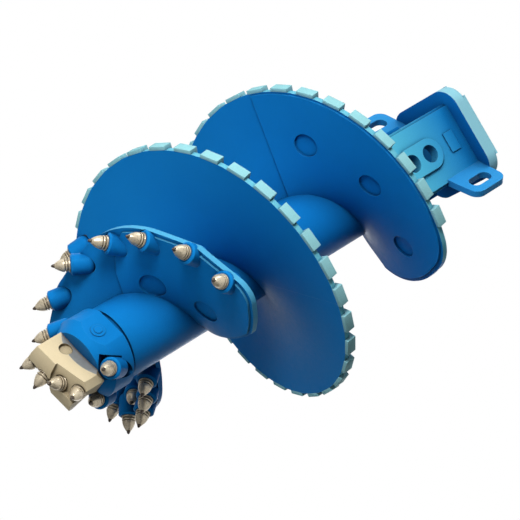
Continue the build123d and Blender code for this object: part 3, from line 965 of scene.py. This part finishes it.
@dataclass
class WearPads:
    """Hard-faced pads over the rim of the flights, in three runs.

    Sizes are in millimetres, heights from the plate's kelly side.
    """

    first: float = 143.4
    step: float = 11.8
    runs: tuple[tuple[str, int, int], ...] = (("lower", 0, 14), ("middle", 14, 29), ("upper", 29, 44))
    pitch: float = 514.0
    height_at_180: float = -1096.5
    plate: float = 20.0
    rim: float = 510.0
    length: float = 68.0
    inward: float = 18.0
    proud: float = 12.0
    thick: float = 16.0
    skirt: float = 20.5
    sunk: float = 1.0
    lap: float = 2.0
    bevel: float = 1.6
    hard_edge: float = 35.0

    def add_pad(self, shape: bmesh.types.BMesh, degrees: float) -> None:
        """Add one bevelled pad to a run.

        Args:
            shape: The run's mesh.
            degrees: Angle of the pad's middle along the helix.
        """
        lead = math.atan(self.pitch / (2 * math.pi * (self.rim + self.proud - self.inward)))
        angle = math.radians(degrees)
        away = Vector((math.cos(angle), math.sin(angle), 0))
        tangent = Vector((-away.y, away.x, math.tan(lead))).normalized()
        top = self.height_at_180 + self.pitch * (degrees - 180) / 360 + self.plate / math.cos(lead)
        frame = Matrix((away, tangent, away.cross(tangent))).transposed().to_4x4()
        frame = Matrix.Translation((0, 0, top * MM)) @ frame
        inner, outer = self.rim - self.inward, self.rim + self.proud
        section = [
            (inner, -self.sunk),
            (self.rim - self.lap, -self.sunk),
            (self.rim - self.lap, -self.skirt),
            (outer, -self.skirt),
            (outer, self.thick),
            (inner, self.thick),
        ]
        ends = []
        for along in (-self.length / 2, self.length / 2):
            ends.append([shape.verts.new(frame @ (Vector((r, along, z)) * MM)) for r, z in section])
        faces = [shape.faces.new(ends[0]), shape.faces.new(ends[1])]
        for k in range(len(section)):
            after = (k + 1) % len(section)
            faces.append(shape.faces.new((ends[0][k], ends[0][after], ends[1][after], ends[1][k])))
        edges = list({edge for face in faces for edge in face.edges})
        offset = self.bevel * MM
        bmesh.ops.bevel(
            shape, geom=edges, offset=offset, segments=2, profile=0.6, affect="EDGES", clamp_overlap=True
        )

    def build(self, hardface: bpy.types.Material) -> None:
        """Build the three runs of pads.

        Args:
            hardface: Finish of the pads.
        """
        for name, start, stop in self.runs:
            mesh = bpy.data.meshes.new("rim_pads_" + name)
            shape = bmesh.new()
            for k in range(start, stop):
                self.add_pad(shape, self.first + k * self.step)
            bmesh.ops.recalc_face_normals(shape, faces=shape.faces)
            shape.to_mesh(mesh)
            shape.free()
            mesh.materials.append(hardface)
            smooth_by_angle(mesh, self.hard_edge)
            piece = bpy.data.objects.new("rim_pads_" + name, mesh)
            bpy.context.scene.collection.objects.link(piece)
            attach(piece, Body.AUGER.value)
            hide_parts("pads_" + name)
            LOG.info("%d pads set on the %s run", stop - start, name)


@dataclass
class PickRow:
    """The round shank picks, each turning in its bore.

    Heights are along the pick from the holder's front, in millimetres.
    """

    shank_radius: float = 15.4
    shank_length: float = 48.0
    collar_radius: float = 25.0
    collar_height: float = 6.4
    groove_radius: float = 19.0
    ring_radius: float = 23.6
    ring_height: float = 16.4
    nose_radius: float = 8.2
    nose_height: float = 52.0
    insert_radius: float = 6.4
    length: float = 64.0
    segments: int = 56
    hard_edge: float = 38.0

    def steel_profile(self) -> Outline:
        """Outline of the steel body, from the shank's end to the nose's rim.

        Returns:
            The outline.
        """
        shank, collar, ring = self.shank_radius, self.collar_radius, self.ring_radius
        low, high = self.collar_height, self.ring_height
        nose, top = self.nose_radius, self.nose_height
        step = (top - high - 5.0) / 4
        return [
            (0, -self.shank_length),
            (shank - 1.2, -self.shank_length),
            (shank, 1.2 - self.shank_length),
            (shank, -9.0),
            (shank - 1.4, -8.0),
            (shank - 1.4, -1.2),
            (shank, 0.1),
            (collar - 0.9, 0.1),
            (collar, 1.0),
            (collar, low - 1.0),
            (collar - 0.9, low),
            (self.groove_radius + 1.0, low + 0.5),
            (self.groove_radius, low + 1.3),
            (self.groove_radius, low + 3.8),
            (ring - 1.0, low + 4.8),
            (ring, low + 5.8),
            (ring, high - 1.5),
            (ring - 1.0, high),
            (self.groove_radius, high + 0.8),
            (self.groove_radius, high + 2.6),
            (ring - 1.2, high + 3.8),
            (ring - 1.6, high + 5.0 + 0.3 * step),
            (ring - 3.6, high + 5.0 + 1.2 * step),
            (ring - 7.2, high + 5.0 + 2.3 * step),
            (nose + 3.4, high + 5.0 + 3.3 * step),
            (nose + 0.6, top - 0.7),
            (nose - 0.4, top),
            (self.insert_radius + 0.1, top + 0.2),
        ]

    def insert_profile(self) -> Outline:
        """Outline of the hard insert, from its seat to the point.

        Returns:
            The outline.
        """
        radius, top, end = self.insert_radius, self.nose_height, self.length
        return [
            (radius, top + 0.3),
            (radius, top + 3.0),
            (radius * 0.86, end - 6.5),
            (radius * 0.66, end - 3.6),
            (radius * 0.44, end - 1.5),
            (radius * 0.22, end - 0.4),
            (0, end),
        ]

    def build(self, joints: list[Joint], steel: bpy.types.Material, carbide: bpy.types.Material) -> None:
        """Build one detailed pick for every turning joint.

        Args:
            joints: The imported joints, which give each pick's place and axis.
            steel: Finish of the body.
            carbide: Finish of the insert.
        """
        steel_part = self.steel_profile()
        outline = steel_part + self.insert_profile()
        profile = [(radius * MM, height * MM) for radius, height in outline]
        insert_from = len(steel_part) - 1
        for joint in joints:
            key = joint["child"].removeprefix("body_")
            name = "turned_pick_" + key
            mesh = turned_mesh(name, profile, self.segments)
            mesh.materials.append(steel)
            mesh.materials.append(carbide)
            for index, face in enumerate(mesh.polygons):
                face.material_index = 1 if index // self.segments >= insert_from else 0
            smooth_by_angle(mesh, self.hard_edge)
            piece = place(name, mesh, Vector(joint["pos_m"]), Vector(joint["axis"]).normalized())
            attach(piece, joint["child"])
            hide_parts("pick_" + key)
            LOG.info("pick %s turned, %d faces", key, len(mesh.polygons))


@dataclass
class PlateWork:
    """The welded body of the auger: flights, stem, box and holders, as packed, given their finish."""

    flights: tuple[str, ...] = ("main_flight", "upper_flight", "top_flight")
    tips: tuple[str, ...] = ("tip_flight", "tip_overlay")
    flanges: tuple[str, ...] = ("flange", "end_face")
    box: tuple[str, ...] = (
        "box_wall_near",
        "box_wall_far",
        "box_wall_left",
        "box_wall_right",
        "doubler_near",
        "doubler_far",
        "blank_plate",
    )
    lugs: tuple[str, ...] = ("lug_right", "lug_left")

    def dress(self, nodes: dict[str, bpy.types.Object], blue: bpy.types.Material) -> None:
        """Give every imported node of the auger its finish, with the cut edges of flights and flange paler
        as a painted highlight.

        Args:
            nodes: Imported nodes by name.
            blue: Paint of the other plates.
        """
        groups = (
            (self.flights, FLIGHT_BLUE.material()),
            (self.tips, TIP_BLUE.material()),
            (self.flanges, FLANGE_BLUE.material()),
            (self.box, BOX_BLUE.material()),
            (self.lugs, LUG_BLUE.material()),
        )
        for name, node in nodes.items():
            finish = next((paint for names, paint in groups if name in names), blue)
            node.data.materials.clear()
            node.data.materials.append(finish)
            LOG.info("%s dressed in %s", name, finish.name)


@dataclass(frozen=True)
class SoftLamp:
    """Square lamp that faces the auger: its direction from the auger, side in metres and watts."""

    name: str
    way: Point
    size: float
    power: float


@dataclass
class Studio:
    """Floor, soft light and the camera.

    The auger hangs from its kelly pin, and the view looks up at it from floor level.
    """

    eye: Point = (-0.148, -5.755, -4.9235)
    right: Point = (0.5010, -0.5146, 0.6959)
    down: Point = (0.8652, 0.2763, -0.4185)
    lens: float = 143.35
    far_clip: float = 200.0
    floor_gap: float = 0.08
    floor_size: float = 60.0
    sky: float = 0.05
    sky_tone: Colour = (0.94, 0.97, 1.0, 1.0)
    white: Colour = (1.0, 1.0, 1.0, 1.0)
    middle: Point = (0.0, 0.0, -0.75)
    lamp_distance: float = 6.5
    lamps: tuple[SoftLamp, ...] = (
        SoftLamp("key", (-0.62, -0.73, -0.28), 2.2, 365.0),
        SoftLamp("top", (-0.62, -0.45, 0.65), 2.4, 95.0),
        SoftLamp("overhead", (0.0, 0.05, 1.0), 5.0, 200.0),
        SoftLamp("back", (0.30, 0.85, 0.40), 3.0, 45.0),
    )

    def build(self) -> None:
        """Set up the floor, the light, the background and the camera."""
        self.add_floor()
        self.add_sky()
        for lamp in self.lamps:
            self.add_lamp(lamp)
        self.add_camera()
        bpy.context.scene.view_settings.view_transform = "Standard"

    def add_floor(self) -> None:
        """Lay the floor just under the camera."""
        mesh = bpy.data.meshes.new("floor")
        half = self.floor_size / 2
        level = self.eye[2] - self.floor_gap
        corners = [(x * half, y * half, level) for x, y in ((-1, -1), (1, -1), (1, 1), (-1, 1))]
        mesh.from_pydata(corners, [], [(0, 1, 2, 3)])
        mesh.materials.append(FloorCoat().material())
        floor = bpy.data.objects.new("floor", mesh)
        bpy.context.scene.collection.objects.link(floor)

    def add_sky(self) -> None:
        """Light the scene evenly, with white where the camera or a reflection looks past the auger."""
        world = bpy.data.worlds.new("studio")
        bpy.context.scene.world = world
        world.use_nodes = True
        tree = world.node_tree
        tree.nodes.clear()
        output = tree.nodes.new("ShaderNodeOutputWorld")
        even = tree.nodes.new("ShaderNodeBackground")
        even.inputs["Strength"].default_value = self.sky
        even.inputs["Color"].default_value = self.sky_tone
        white = tree.nodes.new("ShaderNodeBackground")
        white.inputs["Strength"].default_value = 1.0
        white.inputs["Color"].default_value = self.white
        path = tree.nodes.new("ShaderNodeLightPath")
        seen = path.outputs["Is Camera Ray"]
        for ray in ("Is Glossy Ray", "Is Transmission Ray"):
            either = tree.nodes.new("ShaderNodeMath")
            either.operation = "MAXIMUM"
            tree.links.new(seen, either.inputs[0])
            tree.links.new(path.outputs[ray], either.inputs[1])
            seen = either.outputs["Value"]
        mix = tree.nodes.new("ShaderNodeMixShader")
        tree.links.new(seen, mix.inputs["Fac"])
        tree.links.new(even.outputs["Background"], mix.inputs[1])
        tree.links.new(white.outputs["Background"], mix.inputs[2])
        tree.links.new(mix.outputs["Shader"], output.inputs["Surface"])

    def add_lamp(self, lamp: SoftLamp) -> None:
        """Hang a lamp that faces the auger.

        Args:
            lamp: The lamp.
        """
        light = bpy.data.lights.new(lamp.name, "AREA")
        light.shape = "SQUARE"
        light.size = lamp.size
        light.energy = lamp.power
        holder = bpy.data.objects.new(lamp.name, light)
        middle = Vector(self.middle)
        holder.location = middle + Vector(lamp.way).normalized() * self.lamp_distance
        holder.rotation_euler = (middle - holder.location).to_track_quat("-Z", "Y").to_euler()
        holder.visible_camera = False
        bpy.context.scene.collection.objects.link(holder)

    def add_camera(self) -> None:
        """Put the camera where the picture was taken from."""
        lens = bpy.data.cameras.new("camera")
        lens.lens = self.lens
        lens.clip_end = self.far_clip
        camera = bpy.data.objects.new("camera", lens)
        across = Vector(self.right).normalized()
        up = -Vector(self.down)
        up = (up - across * up.dot(across)).normalized()
        back = across.cross(up)
        frame_matrix = Matrix((across, up, back)).transposed().to_4x4()
        camera.matrix_world = Matrix.Translation(Vector(self.eye)) @ frame_matrix
        bpy.context.scene.collection.objects.link(camera)
        bpy.context.scene.camera = camera


def main() -> None:
    """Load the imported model, build and dress the auger, and set up the studio."""
    logging.basicConfig(level=logging.INFO, format="%(name)s: %(message)s")
    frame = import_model()
    blue = BLUE.material()
    PlateWork().dress(frame["nodes"], blue)
    PilotSocket().build(frame["joints"], blue)
    PilotBit().build(frame["joints"], CREAM.material(), BARE_STEEL.material())
    WearPads().build(HARDFACE.material())
    PickRow().build(frame["joints"], PICK_STEEL.material(), CARBIDE.material())
    Studio().build()
    LOG.info("sizes written")


if __name__ == "__main__":
    main()
